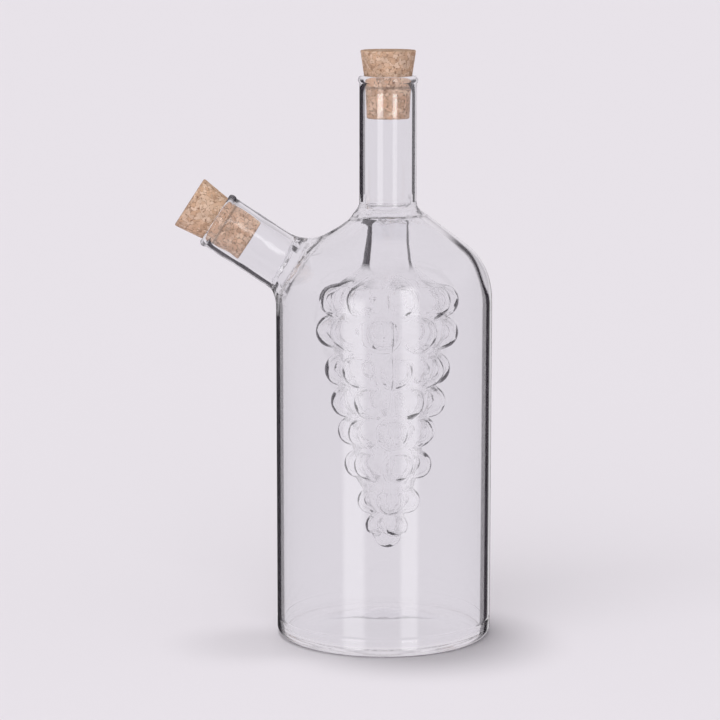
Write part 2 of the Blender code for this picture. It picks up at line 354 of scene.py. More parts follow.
def keep_result(piece):
    """Make what a piece's modifiers give its own plain mesh, and remove them."""
    depsgraph = bpy.context.evaluated_depsgraph_get()
    shown = piece.evaluated_get(depsgraph)
    piece.data = bpy.data.meshes.new_from_object(shown, depsgraph=depsgraph)
    piece.modifiers.clear()


def store(mesh, name, values, kind="FLOAT", field="value"):
    """Store a value at each point of a mesh."""
    mesh.attributes.new(name, kind, "POINT").data.foreach_set(field, values)


def arc(centre, radii, start, end, steps):
    """Points on an arc of a circle or ellipse, between two angles from the radial axis."""
    angles = [start + (end - start) * step / steps for step in range(steps + 1)]
    return [(centre[0] + radii[0] * cos(a), centre[1] + radii[1] * sin(a)) for a in angles]


def round_arc(radial, height, radius, start, end, steps):
    """Points on an arc of a circle about a radial place and a height."""
    return arc((radial, height), (radius, radius), start, end, steps)


def spaced(start, end, steps):
    """Evenly spaced points from start up to, but without, end."""
    return [
        (start[0] + (end[0] - start[0]) * i / steps, start[1] + (end[1] - start[1]) * i / steps)
        for i in range(steps)
    ]


def smooth_step(value, start=0.0, width=1.0):
    """0 to 1 with level ends, as a value goes on from start by a width."""
    share = min(max((value - start) / width, 0.0), 1.0)
    return share * share * (3 - 2 * share)


def bell(value, middle, width):
    """1 at the middle, and less and less on both sides."""
    return exp(-(((value - middle) / width) ** 2))


def lean(height):
    """How far the shoulder is drawn towards +X at a height, up to the neck's own offset."""
    return neck_offset * smooth_step(height, shoulder_start, seal_height - shoulder_start)


def from_neck(point):
    """Distance of a point from the axis of the neck and the inner vessel."""
    return hypot(point.x - neck_offset, point.y)


def by_spout(point):
    """How far a point is along the spout's axis and beside it, and how far up its side."""
    from_start = point - spout_start
    along = from_start.dot(spout_axis)
    beside = (from_start - spout_axis * along).length
    return along, beside, from_start.dot(spout_side) / max(beside, 1e-6)


def shell_radius(height, inset=0.0):
    """Radius of the shoulder's outside at a height, or of a surface inset from it."""
    rise = height - shoulder_start
    if rise <= 0:
        return body_radius - inset
    bend = shoulder_bend - inset
    if rise <= bend * sin(bend_angle):
        return body_radius - shoulder_bend + sqrt(bend**2 - rise**2)
    foot = body_radius - shoulder_bend + bend * cos(bend_angle)
    return foot - (rise - bend * sin(bend_angle)) / tan(shoulder_slope)


def punt_rise(radius):
    """Height of the underside at a radius, from the middle out to the resting ring."""
    return punt_height * (1 + cos(pi * min(radius / rest_edge, 1.0))) / 2


def floor_rise(radius):
    """Height of the floor inside, with the nub at its middle."""
    return punt_rise(radius) + base_wall + nub_height * bell(radius, 0.0, nub_radius)


def base_outline():
    """Underside, resting ring, heel and the faint groove where the base was closed on."""
    under = [(rest_edge * i / 16, punt_rise(rest_edge * i / 16)) for i in range(17)]
    heel = round_arc(body_radius - heel_radius, heel_radius, heel_radius, -pi / 2, 0, 10)
    join = [
        (body_radius - join_groove * bell(step, 0, 2), heel_join + join_width * step / 2)
        for step in range(-4, 5)
    ]
    return under + heel + join


def shoulder_outline(inset, top):
    """Wall and shoulder from just above the heel up to a height on the cone."""
    radius = body_radius - inset
    wall = spaced((radius, heel_join + join_width * 4), (radius, shoulder_start), 24)
    bend = shoulder_bend - inset
    curve = round_arc(body_radius - shoulder_bend, shoulder_start, bend, 0, bend_angle, 28)
    curve = curve[:1] + curve[crease_steps:]
    return wall + curve + spaced(curve[-1], (shell_radius(top, inset), top), 10)[1:]


def lip_outline(rim):
    """Fire-polished lip from the outside of a tube over to its bore."""
    middle = (bore_radius + tube_radius + lip_swell) / 2
    half_width = middle - bore_radius
    radii = (half_width, lip_height / 2)
    meet = -acos((tube_radius - middle) / half_width)
    return arc((middle, rim - lip_height / 2), radii, meet, pi, 20)


def core_knots():
    """Height and radius of the blown core under the grapes, from the stem to the tip."""
    rows = [(row.drop, bunch_radius * row.ring + core_margin) for row in grape_rows[:-1]]
    sides = [(drop, bunch_radius * ring) for drop, ring in flare_outline] + rows
    knots = [(flare_top - bunch_length * drop, radius) for drop, radius in sides]
    return [(flare_top, stem_radius), *knots, (vessel_tip, 0.0)]


def core_radius(height):
    """Radius of the core at a height, on a smooth curve through its knots."""
    knots = core_knots()
    if height >= knots[0][0]:
        return stem_radius
    index = max(i for i, knot in enumerate(knots[:-1]) if height <= knot[0])
    (z0, r0), (z1, r1) = knots[index], knots[index + 1]
    before = knots[max(index - 1, 0)]
    after = knots[min(index + 2, len(knots) - 1)]
    slope0 = (r1 - before[1]) / (z1 - before[0]) * (z1 - z0)
    slope1 = (after[1] - r0) / (after[0] - z0) * (z1 - z0)
    t = min((height - z0) / (z1 - z0), 1.0)
    bend = (2 * r0 - 2 * r1 + slope0 + slope1) * t + (3 * r1 - 3 * r0 - 2 * slope0 - slope1)
    return max((bend * t + slope0) * t + r0, 0.0)


def bunch_heights(grape_radius):
    """Heights of the bunch's rings: close together where a row of grapes begins and ends."""
    flare_end = core_knots()[len(flare_outline)][0]
    heights = [flare_top - (flare_top - flare_end) * i / 20 for i in range(21)]
    for row in grape_rows:
        centre = flare_top - bunch_length * row.drop
        for step in range(grape_bands + 1):
            angle = grape_reach * (1 - 2 * step / grape_bands)
            heights.append(centre + grape_radius * row.size * sin(angle))
    tip_centre = flare_top - bunch_length * grape_rows[-1].drop
    kept = []
    for height in sorted(heights, reverse=True):
        if height < tip_centre + least_band:
            break
        if not kept or kept[-1] - height > least_band:
            kept.append(height)
    return kept + [tip_centre]


def bunch_outline(inset, grape_radius):
    """Core of the bunch from the flare down to the tip, or the space inside it."""
    side = [(max(core_radius(z) - inset, least_radius), z) for z in bunch_heights(grape_radius)]
    size = grape_radius * grape_rows[-1].size - inset
    radius, height = side[-1]
    side[-1] = (max(radius, size), height)
    return side + round_arc(0, height, size, 0, -pi / 2, 10)[1:]


def marked(outline, offset, bunch=0.0):
    """Outline points as (radius, height, offset towards +X, share of the bunch)."""
    return [
        (radius, height, lean(height) if offset is None else offset, bunch)
        for radius, height in outline
    ]


def outside_outline(grape_radius):
    """From under the foot up the outside, over the lip, down the bore and into the bunch."""
    fillet_middle = tube_radius + seal_fillet
    fillet = round_arc(fillet_middle, neck_foot, seal_fillet, pi + bend_angle, pi, 12)
    crown = spaced((seal_radius, seal_height), fillet[0], 8)
    outer = base_outline() + shoulder_outline(0.0, seal_height) + crown + fillet
    neck = spaced((tube_radius, neck_foot), (tube_radius, rim_height - lip_height), 14)[1:]
    ledge_foot = stem_top + stem_fillet
    bore_end = (bore_radius, ledge_foot + ledge_width)
    bore = spaced((bore_radius, rim_height - lip_height), bore_end, 14)
    ledge_radii = (bore_radius - stem_bore, ledge_width)
    ledge = arc((bore_radius, ledge_foot), ledge_radii, pi / 2, pi, 12)
    stem = spaced(ledge[-1], (stem_bore, flare_top), 8)[1:]
    return (
        marked(outer, None)
        + marked(neck + lip_outline(rim_height) + bore + ledge + stem, neck_offset)
        + marked(bunch_outline(vessel_wall, grape_radius), neck_offset, 2.0)
    )


def oil_outline(grape_radius):
    """Space for the oil: over the floor, up the wall, and back down round the vessel."""
    floor = [(floor_edge * i / 24, floor_rise(floor_edge * i / 24)) for i in range(24)]
    heel_middle = floor_rise(floor_edge) + inner_heel
    heel = round_arc(floor_edge, heel_middle, inner_heel, -pi / 2, 0, 10)
    top = seal_height - cone_drop
    under_middle = stem_radius + stem_fillet
    crown = spaced((seal_radius, top), (under_middle, stem_top + stem_fillet), 8)
    under = round_arc(under_middle, stem_top, stem_fillet, pi / 2, pi, 10)
    stem = spaced(under[-1], (stem_radius, flare_top), 8)[1:]
    return (
        marked(floor + heel + shoulder_outline(body_wall, top), None)
        + marked(crown + under + stem, neck_offset)
        + marked(bunch_outline(0.0, grape_radius), neck_offset, 1.0)
    )


def turn_angles():
    """Angles of the turned glass's columns from the front, with four more at each seam."""
    angles = [seam_turn + 2 * pi * i / turn_steps for i in range(turn_steps)]
    for seam in (seam_turn, seam_turn + pi):
        for step in (-2, -1, 1, 2):
            angles.append(seam + step * seam_width / bunch_radius)
    return sorted(angle % (2 * pi) for angle in angles)


def turned_surface(bm, outline, angles, layer, inward=False):
    """Turn an outline that starts and ends on its axis into a closed surface.

    Each point of the outline is (radius, height, offset towards +X, value for the layer).
    """
    rings = []
    for radius, height, offset, value in outline:
        if radius < 1e-6:
            places = [(offset, 0, height)]
        else:
            places = [(offset + radius * sin(a), -radius * cos(a), height) for a in angles]
        ring = [bm.verts.new(place) for place in places]
        for vertex in ring:
            vertex[layer] = value
        rings.append(ring)
    for lower, upper in zip(rings, rings[1:]):
        for i in range(len(angles)):
            k = (i + 1) % len(angles)
            if len(lower) == 1:
                corners = [lower[0], upper[k], upper[i]]
            elif len(upper) == 1:
                corners = [lower[i], lower[k], upper[0]]
            else:
                corners = [lower[i], lower[k], upper[k], upper[i]]
            face = bm.faces.new(corners[::-1] if inward else corners)
            face.smooth = True


def flowed(point):
    """How much uneven, flowed glass there is at a point: 1 at a fused joint."""
    seal = bell(point.z - neck_foot, -seal_flow, seal_spread)
    along, beside, _ = by_spout(point)
    weld = bell(beside - tube_radius, weld_flow, weld_spread) * (along > flow_start)
    return max(seal * (from_neck(point) < seal_radius + flow_margin), weld)


def add_flow(bm, amount):
    """Ripple the fused joints, as glass that ran before it set."""
    bm.normal_update()
    coarse, fine = wave_scales
    moves = []
    for vertex in bm.verts:
        share = flowed(vertex.co)
        if share > least_flow:
            wave = noise.noise(vertex.co * coarse) + 0.5 * noise.noise(vertex.co * fine)
            moves.append((vertex, vertex.normal * (amount * share * wave)))
    for vertex, move in moves:
        vertex.co += move


def shoulder_sag(point):
    """How far the shoulder sank at a point: most beside the neck, on the spout's side."""
    radius = from_neck(point)
    inner = tube_radius + sag_inner
    if point.z < flare_top - bunch_length * flare_outline[1][0] or radius < inner:
        return 0.0
    side = smooth_step((neck_offset - point.x) / radius, sag_side, sag_turn)
    foot = smooth_step(radius, inner, sag_foot)
    return sag_depth * side * foot * smooth_step(radius, sag_outer, -sag_brow)


def sag_shoulder(mesh):
    """Let the hot shoulder sink between the neck and the spout."""
    for vertex in mesh.vertices:
        vertex.co.z -= shoulder_sag(vertex.co)
    mesh.update()


def crease_rings(bm):
    """Keep the faint creases where the shoulder and the neck's fillet begin."""
    for edge in bm.edges:
        for height in (shoulder_start, neck_foot):
            if all(abs(vertex.co.z - height) < 0.00001 for vertex in edge.verts):
                edge.smooth = False


def surface_height(place_u, place_v, inset):
    """Distance along the spout's axis at which a line beside it meets the shoulder."""
    foot = spout_start + spout_side * place_u + Vector((0, place_v, 0))
    low, high = 0.0, spout_reach
    for _ in range(24):
        middle = (low + high) / 2
        place = foot + spout_axis * middle
        inside = hypot(place.x - lean(place.z), place.y) < shell_radius(place.z, inset)
        low, high = (middle, high) if inside else (low, middle)
    return low


def spout_mesh():
    """Side spout as a tube, with a foot that spreads over the shoulder inside and out."""
    bm = bmesh.new()
    turns = [2 * pi * step / spout_steps for step in range(spout_steps)]
    columns = [spout_column(cos(turn), sin(turn)) for turn in turns]
    rings = [[bm.verts.new(place) for place in column] for column in columns]
    for ring, following in zip(rings, rings[1:] + rings[:1]):
        for k in range(len(ring)):
            j = (k + 1) % len(ring)
            face = bm.faces.new((ring[k], following[k], following[j], ring[j]))
            face.smooth = True
    bmesh.ops.recalc_face_normals(bm, faces=bm.faces[:])
    return mesh_from("spout", bm)


def weld_size(across):
    """Width and height of the spout's fillet on one side: larger on top, where it sagged."""
    return weld_fillet + weld_rise * smooth_step(across)


def spout_column(across, aside):
    """One side of the spout's wall: up its outside, over the lip and down the bore."""

    def placed(radius, along):
        beside = spout_side * (radius * across) + Vector((0, radius * aside, 0))
        return spout_start + beside + spout_axis * along

    def seated(radius, rise, inset):
        return placed(radius, surface_height(radius * across, radius * aside, inset) + rise)

    def tube(radius, start, end):
        steps = range(1, tube_rings)
        return [placed(radius, start + (end - start) * step / tube_rings) for step in steps]

    fillet = weld_size(across)
    column = []
    for step in range(weld_steps + 1):
        angle = pi / 2 * step / weld_steps
        radius = tube_radius + fillet * (1 - sin(angle))
        column.append(seated(radius, fillet * (1 - cos(angle)) - weld_sink, 0.0))
    foot = surface_height(tube_radius * across, tube_radius * aside, 0.0) + fillet
    root = surface_height(bore_radius * across, bore_radius * aside, body_wall) + root_fillet
    lip = lip_outline(spout_reach)
    column += tube(tube_radius, foot, lip[0][1])
    column += [placed(radius, along) for radius, along in lip]
    column += tube(bore_radius, lip[-1][1], root)
    for step in range(root_steps + 1):
        angle = pi / 2 * step / root_steps
        radius = bore_radius + root_fillet * (1 - cos(angle))
        column.append(seated(radius, root_fillet * (1 - sin(angle)) - weld_sink, body_wall))
    column.append(seated(root_hole + root_lap, -weld_sink, body_wall))
    column.append(seated(tube_radius + fillet - root_lap, weld_sink * 4, body_wall))
    return column


def hole_mesh():
    """Plug that opens the shoulder under the spout."""
    bm = bmesh.new()
    middle = surface_height(0, 0, body_wall / 2)
    bmesh.ops.create_cone(
        bm,
        cap_ends=True,
        segments=spout_steps,
        radius1=root_hole,
        radius2=root_hole,
        depth=0.020,
        matrix=Matrix.Translation(spout_start + spout_axis * middle) @ spout_turn,
    )
    return mesh_from("root hole", bm)


def grape_seeds(settings):
    """A point at the centre of every grape, with its radius."""
    mesh = bpy.data.meshes.new("grape seeds")
    places, sizes = [], []
    noise.seed_set(scatter_seed)  # without it the scatter would be seeded by the clock
    for index, row in enumerate(grape_rows):
        ring = bunch_radius * row.ring
        height = flare_top - bunch_length * row.drop
        scatter = settings.grape_scatter if row is not grape_rows[-1] else 0.0
        for number_in_row in range(row.count):
            turn = radians(row.turn) + 2 * pi * number_in_row / row.count
            lift = grape_lift * cos(turn) * row.ring
            place = Vector((ring * sin(turn), -ring * cos(turn), height + lift))
            shift = noise.noise_vector(Vector((index * 7.3, number_in_row * 5.1, 2.7)))
            places.append(place + shift * scatter)
            sizes.append(settings.grape_radius * row.size)
    mesh.from_pydata(places, [], [])
    store(mesh, "size", sizes)
    return new_piece("grape_seeds", mesh)


class Graph:
    """A node tree, with short ways to add nodes to it."""

    def __init__(self, tree):
        self.tree = tree

    def feed(self, node, inputs):
        """Set a node's inputs, or link wires to them."""
        for key, value in inputs.items():
            if isinstance(value, Wire):
                self.tree.links.new(value.socket, node.inputs[key])
            else:
                node.inputs[key].default_value = value
        return node

    def node(self, kind, inputs=None, **settings):
        """Add a node, set its options, and set or link its inputs."""
        node = self.tree.nodes.new(kind)
        for name, value in settings.items():
            setattr(node, name, value)
        return self.feed(node, inputs or {})

    def wire(self, kind, inputs=None, output=0, **settings):
        """Add a node, and return one of its outputs."""
        return Wire(self, self.node(kind, inputs, **settings).outputs[output])

    def wires(self, kind, inputs=None, **settings):
        """Add a node, and return its outputs by name."""
        node = self.node(kind, inputs, **settings)
        return {socket.name: Wire(self, socket) for socket in node.outputs}


class Wire:
    """A node's output. To add to it, multiply it and so on adds the node that does so."""

    def __init__(self, graph, socket):
        self.graph = graph
        self.socket = socket

    def __add__(self, other):
        return calc("ADD", self, other)

    def __sub__(self, other):
        return calc("SUBTRACT", self, other)

    def __rsub__(self, other):
        return calc("SUBTRACT", other, self)

    def __mul__(self, other):
        return calc("MULTIPLY", self, other)

    def __truediv__(self, other):
        return calc("DIVIDE", self, other)

    def __rtruediv__(self, other):
        return calc("DIVIDE", other, self)


def is_vector(value):
    """Whether a wire or a plain value is a vector or a colour."""
    if isinstance(value, Wire):
        return value.socket.type in ("VECTOR", "RGBA")
    return isinstance(value, tuple)


def calc(operation, *values):
    """Result of a Math node, or of a Vector Math node where a value is a vector."""
    graph = next(value.graph for value in values if isinstance(value, Wire))
    vectors = [is_vector(value) for value in values]
    kind = "ShaderNodeVectorMath" if any(vectors) else "ShaderNodeMath"
    inputs = dict(enumerate(values))
    if operation == "MULTIPLY" and vectors[0] != vectors[1]:
        vector, factor = values if vectors[0] else values[::-1]
        operation, inputs = "SCALE", {0: vector, "Scale": factor}
    output = 1 if operation in ("DOT_PRODUCT", "LENGTH") else 0
    return graph.wire(kind, inputs, output, operation=operation)


def band(value, low, high, at_low, at_high, curve="SMOOTHSTEP"):
    """Change of a value from one level to another, with level ends."""
    limits = {"From Min": low, "From Max": high, "To Min": at_low, "To Max": at_high}
    return value.graph.wire(
        "ShaderNodeMapRange", {"Value": value, **limits}, interpolation_type=curve
    )


def mixed(share, first, second, **settings):
    """Mix of two colours."""
    inputs = {0: share, 6: first, 7: second}
    return share.graph.wire("ShaderNodeMix", inputs, 2, data_type="RGBA", **settings)


def speckle(place, seed, scale, detail, rough=0.5, output=0):
    """Noise that is different for each seed."""
    return place.graph.wire(
        "ShaderNodeTexNoise",
        {"Vector": place, "W": seed, "Scale": scale, "Detail": detail, "Roughness": rough},
        output,
        noise_dimensions="4D",
    )


def cells(place, scale, feature, output):
    """Cells of random shapes, as granules are when they are pressed together."""
    inputs = {"Vector": place, "Scale": scale, "Randomness": 1.0}
    return place.graph.wire("ShaderNodeTexVoronoi", inputs, output, feature=feature)


def mesh_value(graph, name, output="Fac"):
    """What a mesh stores under a name, for a material."""
    return graph.wire(
        "ShaderNodeAttribute", output=output, attribute_name=name, attribute_type="GEOMETRY"
    )


def point_value(graph, name):
    """What a mesh stores under a name, for geometry nodes."""
    inputs = {"Name": name}
    return graph.wire("GeometryNodeInputNamedAttribute", inputs, "Attribute", data_type="FLOAT")


def new_group(name, kind, inputs, outputs):
    """A node group's graph and its input wires by name.

    inputs and outputs hold each socket's kind, or a default where it is a number.
    """
    graph = Graph(bpy.data.node_groups.new(name, kind + "NodeTree"))
    for direction, sockets in (("INPUT", inputs), ("OUTPUT", outputs)):
        for title, value in sockets.items():
            named = isinstance(value, str)
            socket = graph.tree.interface.new_socket(
                title, in_out=direction, socket_type="NodeSocket" + (value if named else "Float")
            )
            if not named:
                socket.default_value = value
    return graph, graph.wires("NodeGroupInput")


def finish_geometry(graph, given, move, material):
    """Move the points, and end the tree in plain geometry with its material."""
    moved = graph.wire("GeometryNodeSetPosition", {"Geometry": given["Geometry"], **move})
    real = graph.wire("GeometryNodeRealizeInstances", {"Geometry": moved})
    finished = graph.wire("GeometryNodeSetMaterial", {"Geometry": real, **material})
    graph.node("NodeGroupOutput", {"Geometry": finished})
    return graph.tree


def run_tree(piece, tree, values):
    """Run geometry nodes on a piece with the named values, and keep the result."""
    modifier = piece.modifiers.new(tree.name, "NODES")
    modifier.node_group = tree
    identifiers = {
        item.name: item.identifier
        for item in tree.interface.items_tree
        if item.item_type == "SOCKET" and item.in_out == "INPUT"
    }
    for name, value in values.items():
        modifier[identifiers[name]] = value
    keep_result(piece)


def bunch_tree(bunch_glass, sizes):
    """Geometry nodes that blow a turned core out into grapes."""
    graph, given = new_group(
        "Grape bunch",
        "Geometry",
        {"Geometry": "Geometry", "Grapes": "Object", **sizes},
        {"Geometry": "Geometry"},
    )
    bunch = point_value(graph, "bunch")
    inside = calc("GREATER_THAN", bunch, 1.5)
    in_bunch = calc("GREATER_THAN", bunch, 0.5)

    # Place of a point about the vessel's own axis
    axis = graph.wire("ShaderNodeCombineXYZ", {"X": given["Axis"]})
    local = graph.wire("GeometryNodeInputPosition") - axis
    parts = graph.wires("ShaderNodeSeparateXYZ", {0: local})
    flat = graph.wire("ShaderNodeCombineXYZ", {"X": parts["X"], "Y": parts["Y"]})
    height = graph.wire("ShaderNodeCombineXYZ", {"Z": parts["Z"]})
    core = calc("LENGTH", flat)
    outward = calc("NORMALIZE", flat)

    # The grape that covers it
    seeds = graph.wire("GeometryNodeObjectInfo", {"Object": given["Grapes"]}, "Geometry")
    near = {"Geometry": seeds, "Sample Position": local}
    nearest = graph.wire("GeometryNodeSampleNearest", near, "Index", domain="POINT")

    def of_grape(value, kind):
        inputs = {"Geometry": seeds, "Value": value, "Index": nearest}
        return graph.wire("GeometryNodeSampleIndex", inputs, data_type=kind, domain="POINT")

    centre = of_grape(graph.wire("GeometryNodeInputPosition"), "FLOAT_VECTOR")
    full = of_grape(point_value(graph, "size"), "FLOAT")

    # How far that grape reaches in this direction
    size = full - inside * given["Wall"]
    offset = centre - height
    forward = calc("DOT_PRODUCT", offset, outward)
    distance = calc("LENGTH", offset)
    beside = distance * distance - forward * forward
    aside = calc("SQRT", calc("MAXIMUM", beside, 0.0))
    bulge = calc("SQRT", calc("MAXIMUM", size * size - beside, 0.0))
    falls = calc("MAXIMUM", aside - size, 0.0) * 4.0
    blown = calc("SMOOTH_MAX", core, forward + bulge - falls, given["Valley"])
    radius = graph.wire(
        "GeometryNodeBlurAttribute", {0: blown, "Iterations": 1}, data_type="FLOAT"
    )

    # The seam of the two-part mould, a fine ridge on the outside
    turn = calc("ARCTAN2", parts["X"], parts["Y"] * -1.0)
    off_seam = calc("SINE", turn - given["Seam turn"]) * core / given["Seam width"]
    ridge = calc("EXPONENT", calc("POWER", off_seam, 2.0) * -1.0)
    radius += ridge * (given["Seam height"] * (1.0 - inside))

    off_axis = calc("GREATER_THAN", core, 0.00005)
    move = {"Selection": in_bunch * off_axis, "Position": outward * radius + height + axis}
    material = {"Selection": in_bunch, "Material": bunch_glass}
    return finish_geometry(graph, given, move, material)


def blow_bunch(shell, bunch_glass, settings):
    """Blow the bunch out of the turned glass."""
    sizes = {
        "Wall": vessel_wall,
        "Valley": settings.grape_blend,
        "Axis": neck_offset,
        "Seam turn": seam_turn,
        "Seam height": seam_height,
        "Seam width": seam_width,
    }
    tree = bunch_tree(bunch_glass, sizes)
    seeds = grape_seeds(settings)
    run_tree(shell, tree, {"Grapes": seeds, **sizes})
    bpy.data.objects.remove(seeds, do_unlink=True)


def join_solids(shell, other, operation):
    """Cut or join another closed mesh, and keep the result."""
    helper = new_piece("helper", other)
    boolean = shell.modifiers.new("Join", "BOOLEAN")
    boolean.operation = operation
    boolean.solver = "EXACT"
    boolean.object = helper
    keep_result(shell)
    bpy.data.objects.remove(helper, do_unlink=True)


def shared(first, second, share):
    """Edge between two others."""
    return Edge(*(a + (b - a) * share for a, b in zip(first, second)))


def faded(edge, share):
    """Edge that is only partly as dark."""
    return edge._replace(strength=edge.strength * share)


def body_edge(point):
    """Painted shade along the edge of body, shoulder and foot, stopping for a light rim on the
    right and over the shoulder.
    """
    radius = hypot(point.x - lean(point.z), point.y)
    if radius < shell_radius(point.z, body_wall / 2):
        return inner_edge
    right = smooth_step(0.5 + point.x / body_radius)
    high = shared(*crown_right, smooth_step(point.z, crown_low, 0.013))
    crown = shared(crown_left, high, right)
    edge = shared(
        shared(*wall_sides, right), crown, smooth_step(point.z, shoulder_start, 0.009)
    )
    corner = smooth_step(abs(point.x) / body_radius, 0.68, 0.2)
    heel = smooth_step(point.z, 0.0002, 0.0016)
    heel *= corner + (1 - corner) * smooth_step(point.z, heel_radius, 0.002)
    return faded(edge, heel * smooth_step(point.z, crown_end - 0.005 * right, -0.005))


def tube_edge(beside, from_lip, wall):
    """Painted shade along the edge of a tube's outside, or of its lip."""
    if beside < (bore_radius + tube_radius) / 2:
        return faded(wall, 0.0)
    lip = Edge(wall.start - 0.1, 0.60, wall.strength, 0.0)
    lip = faded(lip, smooth_step(from_lip, 0.0007, 0.0007))
    return shared(lip, wall, smooth_step(from_lip, lip_height, 0.0006))


def stem_edge(point):
    """Painted shade along the stem and the flare below it: a wide one on the left, a thin one
    right.
    """
    right = smooth_step(0.5 + (point.x - neck_offset) / 0.007)
    return faded(shared(*stem_sides, right), smooth_step(point.z, stem_fade, 0.003))


def bunch_edge(point, normal, inside):
    """Painted shade along the grapes: in broken lines, darkest on the left of the bunch's
    shoulder.
    """
    patchy = noise.noise(point * 230) + 0.3 * noise.noise(point * 600)
    if inside:
        return Edge(0.68 + 0.45 * patchy, no_rim, 0.25 * smooth_step(point.z, 0.128, -0.004), 0.0)
    aside = point.x - neck_offset
    seam = abs(atan2(aside, -point.y) - seam_turn) * bunch_radius / seam_width
    # Painted dark line along the front of the mould's seam, between two heights
    if -point.y > abs(aside) and seam < 0.5 and seam_low < point.z < seam_high:
        return painted_seam_line
    left = smooth_step(aside, -0.007, -0.006)
    shoulder = left * smooth_step(point.z, 0.124, 0.003)
    faint = smooth_step(point.z, 0.1355, -0.0015)
    faint *= 1 - 0.6 * smooth_step(point.z, 0.1285, 0.003) * (1 - left)
    bulge = from_neck(point) - core_radius(point.z)
    faint *= 0.3 + 0.7 * max(smooth_step(bulge, 0.0004, 0.0012), shoulder)
    under = 0.10 * smooth_step(-1.6 * normal.z - 0.3) * (1 - shoulder)
    start = 0.65 - under + 0.55 * patchy * (1 - shoulder) - 0.24 * shoulder
    return Edge(start, no_rim, faint, 0.0)


def weld_edge(beside, above, fillet, uneven):
    """Painted shade on the spout's fillet: a ring along each of its rims, widest on top."""
    rise = beside - tube_radius
    near_tube = bell(rise, 0.0009, 0.0005)
    near_body = bell(rise - fillet, -0.0014, 0.0006)
    near_body *= smooth_step(0.5 + 2.5 * uneven + above)
    start = 0.46 + 0.5 * uneven - 0.16 * smooth_step(above * 1.6)
    return Edge(start, no_rim, 0.97 * smooth_step(1.6 * max(near_tube, near_body)), 0.0)


def spout_edge(along, beside, above):
    """Painted shade along the spout's tube, paler on top of its lip."""
    top = smooth_step(0.6 + above)
    from_lip = spout_reach - along
    edge = tube_edge(beside, from_lip, shared(*spout_sides, top))
    return faded(edge, 1 - 0.8 * top * smooth_step(from_lip, lip_height + 0.0004, -0.0006))


def wall_edge(point, normal, bunch):
    """Painted edge shade of the glass at a point."""
    beside_neck = from_neck(point)
    along, beside, above = by_spout(point)
    uneven = noise.noise(point * 420)
    on_spout = point.x < spout_edge_x and along > weld_begin
    if bunch > 0.5:
        inside = bunch > 1.5
        if point.z > stem_foot:
            return faded(stem_edge(point), not inside)
        return bunch_edge(point, normal, inside)
    if point.z > neck_foot:
        right = smooth_step(0.5 + (point.x - neck_offset) / tube_radius)
        return tube_edge(beside_neck, rim_height - point.z, shared(*neck_sides, right))
    if beside_neck < stem_reach and flare_top - 0.001 < point.z < stem_top + 0.0015:
        return faded(stem_edge(point), beside_neck > stem_bore + 0.0006)
    if on_spout and beside < tube_radius + 0.0003:
        return spout_edge(along, beside, above)
    if on_spout and beside < tube_radius + weld_size(above):
        return weld_edge(beside, above, weld_size(above), uneven)
    # Painted dark ring round the ledge inside the bore
    if bore_radius + 0.0002 > beside_neck > stem_bore and stem_top < point.z < neck_foot - 0.004:
        ring = smooth_step(beside_neck, 0.0070, 0.0008)
        return Edge(0.20 + 0.2 * uneven, no_rim, 0.6 * ring, 0.0)
    # Painted dark ring round the top of the seal, and painted shade on the rest of its top
    if beside_neck < seal_radius and point.z > seal_height:
        painted_ring = bell(beside_neck, painted_ring_radius, painted_ring_width)
        if painted_ring > 0.2:
            return Edge(0.0, 0.60, min(painted_ring * (0.8 + 0.9 * uneven), 1.0), 0.0)
        return Edge(0.70 + 0.5 * uneven, no_rim, 0.8, 0.0)
    edge = body_edge(point)
    if on_spout:
        return faded(edge, smooth_step(beside - tube_radius - weld_size(above), 0.0, 0.0025))
    return edge


def paint_edge_shade(mesh):
    """Store each point's painted edge shade."""
    bunch = mesh.attributes["bunch"].data
    edges = [
        wall_edge(vertex.co, vertex.normal, bunch[vertex.index].value)
        for vertex in mesh.vertices
    ]
    shown = [value for edge in edges for value in edge[:3]]
    store(mesh, "edge", shown, "FLOAT_VECTOR", "vector")
    store(mesh, "edge_step", [edge.step for edge in edges])


def share_glass(mesh, tube_glass):
    """Give the neck and the spout their own material."""
    mesh.materials.append(tube_glass)
    for face in mesh.polygons:
        along, beside, _ = by_spout(face.center)
        on_tube = beside < tube_radius + 0.001 and along > tube_begin
        if face.center.z > neck_foot or (on_tube and face.center.x < spout_edge_x):
            face.material_index = len(mesh.materials) - 1


def edge_group():
    """Shader group: mask of the painted dark edge, with a paler step before it and a light rim
    after.
    """
    graph, given = new_group(
        "Painted dark edge",
        "Shader",
        {
            "Facing": "Float",
            "Edge": "Vector",
            "Later": 0.0,
            "Step": 0.0,
            "Half dark": 0.8,
            "Softness": 0.03,
        },
        {"Mask": "Float"},
    )
    edge = graph.wires("ShaderNodeSeparateXYZ", {0: given["Edge"]})
    facing = given["Facing"] - given["Later"]
    past = facing - edge["X"]
    dark = band(past, 0.0, given["Softness"], 0.0, 1.0 - given["Half dark"])
    pale = band(past + given["Step"], 0.0, given["Softness"], 0.0, given["Half dark"])
    rim = band(facing - edge["Y"], 0.0, 0.06, 1.0, 0.0)
    graph.node("NodeGroupOutput", {"Mask": (dark + pale) * rim * edge["Z"]})
    return graph.tree


